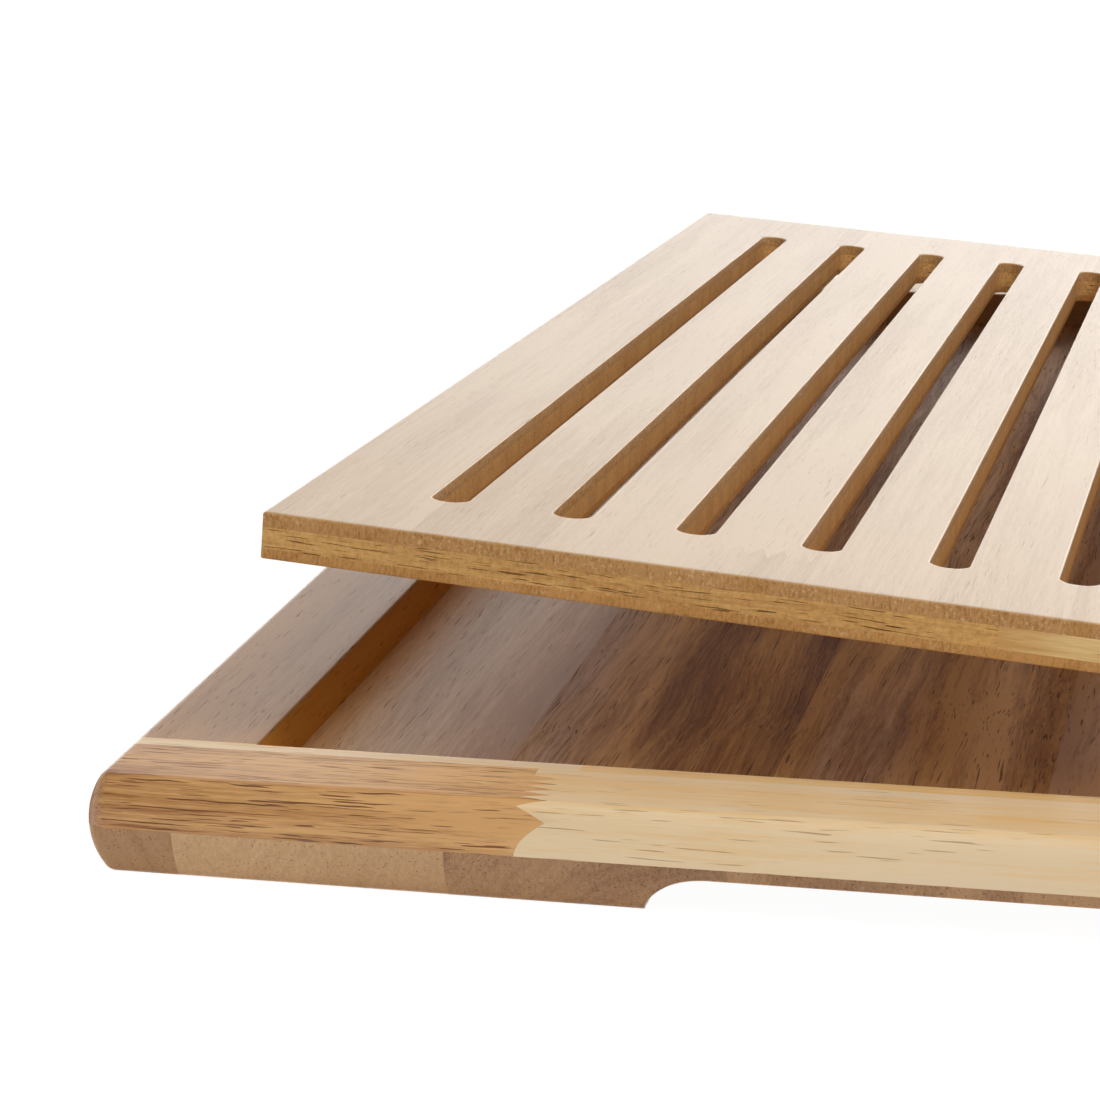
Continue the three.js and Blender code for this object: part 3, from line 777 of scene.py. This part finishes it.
# A stave's place in the tree and its tone
def staveGrain(ply, number):
    (out, outStep, outCycle), (up, upStep, upCycle) = ply["out"], ply["up"]
    pith = (ply["along"] * number, out + outStep * (number % outCycle), up + upStep * (number % upCycle))
    return dict(run="y", pith=pith, tone=ply["tones"][number - 1])


# The two lengths of the pieced stave: their rows are drawn on to a zigzag, a triangle wave across it
def piecedStave(x, y, grain):
    left, right = x[0, 0], x[0, -1]
    share = (x - left) / (right - left) * pieced["count"]
    zigzag = pieced["joint"] + pieced["length"] * (0.5 - 2 * np.abs(share % 1 - 0.5))
    keep = insertRows >= pieced["joint"]
    stop = insert["frontMargin"] - pieced["beforeSlots"]
    start = y[keep].min()
    drawn = zigzag[keep] + pieced["gap"] / 2
    longY = np.where(y[keep] < stop, drawn + (y[keep] - start) / (stop - start) * (stop - drawn), y[keep])
    topPiece("topStave4", "insert_top_stave_4", x[keep], longY, grain)
    rows = np.concatenate([arcSteps(insert["edgeRound"], 4),
                           np.linspace(pieced["still"], pieced["joint"], 12)])[:, None]
    reach = zigzag[0] - pieced["gap"] / 2 - pieced["joint"]
    past = (rows > pieced["still"]) * (rows - pieced["still"]) / (pieced["joint"] - pieced["still"])
    topPiece("topStave4End", "insert_top_stave_4_end", np.tile(x[0], (len(rows), 1)), rows + past * reach,
             dict(run="y", pith=pieced["pith"], tone=pieced["tone"]))


for number in range(1, insert["slots"] + 2):
    left, right = staveSides(number, insertRows)
    x = left[:, None] + staveShares * (right - left)[:, None]
    y = rowGrid(insertRows, x)
    grain = staveGrain(plies["top"], number)
    if number == pieced["stave"]:
        piecedStave(x, y, grain)
    else:
        topPiece(f"topStave{number}", f"insert_top_stave_{number}", x, y, grain)
    insertPiece(f"bottomStave{number}", f"insert_bottom_stave_{number}", x, y, insert["coreBottom"],
                insert["thickness"], "bottom", staveGrain(plies["bottom"], number),
                "insertBottom")
print("insert plies made")

# Insert core: grain across, two scarfed lengths in front, bars between the slots, one length behind
core = dict(frontStrip=22, backStrip=32, scarf=134, scarfRun=9, barSteps=6)
coreGrain = dict(
    left=dict(run="x", pith=(120, 60, 24), across=(0, (0, core["scarf"]), (0.3, 0))),
    right=dict(run="x", pith=(700, 90, -40),
               across=(0, (core["scarf"], core["scarf"] + 5, core["scarf"] + 12, insert["width"]),
                       (0.8, 0.6, 0, -0.3))),
    back=dict(run="x", pith=(1500, -300, 44), tone=0),
    panel=dict(run="x", pith=(2100, 40, 30), tone=0.05),
)


# A piece of the core, sawn on every side that shows
def corePiece(name, node, x, rows, grain, material="insertCore"):
    insertPiece(name, node, x, rowGrid(rows, x), insert["coreTop"], insert["coreBottom"], "none", grain,
                material)


stripRows = np.linspace(0, core["frontStrip"], 6)
scarf = core["scarf"] + stripRows / core["frontStrip"] * core["scarfRun"]
x = spread(np.zeros(len(stripRows)), scarf, nothing, 20, nothing)
corePiece("coreFrontLeft", "insert_core_front_left", x, stripRows, coreGrain["left"])
x = spread(scarf, np.full(len(stripRows), insert["width"]), nothing, 20, nothing)
corePiece("coreFrontRight", "insert_core_front_right", x, stripRows, coreGrain["right"], "corePale")
backStart = insert["length"] - core["backStrip"]
backRows = np.linspace(backStart, insert["length"], 6)
x = np.tile(np.linspace(0, insert["width"], 40), (len(backRows), 1))
corePiece("coreBack", "insert_core_back", x, backRows, coreGrain["back"])

panelRows = insertRows[(insertRows > core["frontStrip"]) & (insertRows < backStart)]
panelRows = lines(core["frontStrip"], panelRows, backStart)
panelPoints, panelFaces, panelCut, used = [], [], [], 0
for number in range(1, insert["slots"] + 2):
    left, right = staveSides(number, panelRows)
    x = left[:, None] + np.linspace(0, 1, core["barSteps"] + 1) * (right - left)[:, None]
    y = rowGrid(panelRows, x)
    faces, cut = slabFaces(*x.shape)
    panelFaces.append(faces + used)
    panelCut.append(cut)
    for depth in (insert["coreTop"], insert["coreBottom"]):
        panelPoints.append(np.stack([x, y, np.full(x.shape, -depth)], -1).reshape(-1, 3))
    used += 2 * x.size
placedMesh("corePanel", np.concatenate(panelPoints), np.concatenate(panelFaces), np.concatenate(panelCut),
           coreGrain["panel"], "insert", ["insert_core_panel"], "insertCore", lifted)
print("insert core made")

# Floor, light and camera
studio = dict(
    worldLight=0.34, frontGloss=0.3, backGloss=0.9, glossTurn=(-0.2, 0.6),
    horizonGloss=2.9, horizonBand=(0.08, 0.3), frontShare=0.5, frontTurn=(-0.9, 0.5),
    sideTurn=(-0.45, 0.2), sideShares=(0.75, 1.5),
    floorColour=(0.86, 0.86, 0.86), floorSize=5, floorShare=0.12, floorGlow=1.1, floorGloss=1.3,
    lamps=(
        dict(name="rightHigh", size=0.9, energy=11, place=(0.85, -0.3, 1.3), aim=(0, 0, 0)),
        dict(name="frontHigh", size=1.2, energy=6, place=(0.1, -1.2, 1.3), aim=(0, -0.1, 0)),
    ),
)

world = bpy.data.worlds.new("studioWorld")
bpy.context.scene.world = world
world.use_nodes = True
tree = world.node_tree
tree.nodes.clear()
path = tree.nodes.new("ShaderNodeLightPath")
ways = tree.nodes.new("ShaderNodeTexCoord")
across, along, up = addNode(tree, "ShaderNodeSeparateXYZ", links={0: ways.outputs["Generated"]}).outputs
# Reflections see a tent that is dimmer in front than behind, and brightest low down
around = ramped(tree, along, *studio["frontTurn"], studio["frontShare"], 1.0)
low = times(tree, ramped(tree, up, *studio["horizonBand"], 1.0, 0.0), around)
low = times(tree, low, ramped(tree, across, *studio["sideTurn"], *studio["sideShares"]))
gloss = plus(tree, times(tree, low, studio["horizonGloss"]),
             ramped(tree, along, *studio["glossTurn"], studio["frontGloss"], studio["backGloss"]))
inGloss = times(tree, path.outputs["Is Glossy Ray"], minus(tree, gloss, studio["worldLight"]))
inView = times(tree, path.outputs["Is Camera Ray"], 1 - studio["worldLight"])
strength = plus(tree, plus(tree, inGloss, inView), studio["worldLight"])
background = addNode(tree, "ShaderNodeBackground", links={"Strength": strength},
                     values={"Color": (1, 1, 1, 1)})
addNode(tree, "ShaderNodeOutputWorld", links={0: background.outputs[0]})

for lamp in studio["lamps"]:
    data = bpy.data.lights.new(lamp["name"], "AREA")
    data.shape = "DISK"
    data.size = lamp["size"]
    data.energy = lamp["energy"]
    light = bpy.data.objects.new(lamp["name"], data)
    light.location = lamp["place"]
    light.visible_camera = False
    towards = Vector(lamp["aim"]) - Vector(lamp["place"])
    light.rotation_euler = towards.to_track_quat("-Z", "Y").to_euler()
    bpy.context.scene.collection.objects.link(light)

reach = studio["floorSize"]
floorMesh = bpy.data.meshes.new("studioFloor")
floorMesh.from_pydata([(-reach, -reach, 0), (reach, -reach, 0), (reach, reach, 0), (-reach, reach, 0)],
                      [], [(0, 1, 2, 3)])
floor = bpy.data.objects.new("studioFloor", floorMesh)
bpy.context.scene.collection.objects.link(floor)
# The floor is a white glow to the camera and to reflections, with a share of paint that shows the shadow
floorPaint = bpy.data.materials.new("floorPaint")
floorPaint.use_nodes = True
tree = floorPaint.node_tree
tree.nodes.clear()
path = tree.nodes.new("ShaderNodeLightPath")
paint = addNode(tree, "ShaderNodeBsdfDiffuse", values={"Color": (*studio["floorColour"], 1)})
bright = maths(tree, "MULTIPLY_ADD", path.outputs["Is Glossy Ray"], studio["floorGloss"],
               studio["floorGlow"])
glow = addNode(tree, "ShaderNodeEmission", links={"Strength": bright})
seen = maths(tree, "MAXIMUM", path.outputs["Is Camera Ray"], path.outputs["Is Glossy Ray"])
share = times(tree, seen, 1 - studio["floorShare"])
blend = addNode(tree, "ShaderNodeMixShader", links={0: share, 1: paint.outputs[0], 2: glow.outputs[0]})
addNode(tree, "ShaderNodeOutputMaterial", links={0: blend.outputs[0]})
floorMesh.materials.append(floorPaint)

view = dict(
    place=(51.25, -725.39, 212.25), lens=101.256, sensor=36, nearest=0.01,
    right=(0.97096, 0.23805, -0.02387), up=(-0.04422, 0.27661, 0.95996), back=(0.23512, -0.93103, 0.2791),
)
cameraData = bpy.data.cameras.new("photoCamera")
cameraData.lens = view["lens"]
cameraData.sensor_width = view["sensor"]
cameraData.clip_start = view["nearest"]
camera = bpy.data.objects.new("photoCamera", cameraData)
turned = Matrix((view["right"], view["up"], view["back"])).transposed().to_4x4()
camera.matrix_world = Matrix.Translation(Vector(view["place"]) * millimetre) @ turned
bpy.context.scene.collection.objects.link(camera)
bpy.context.scene.camera = camera
bpy.context.scene.view_settings.view_transform = "Standard"
print("studio made")
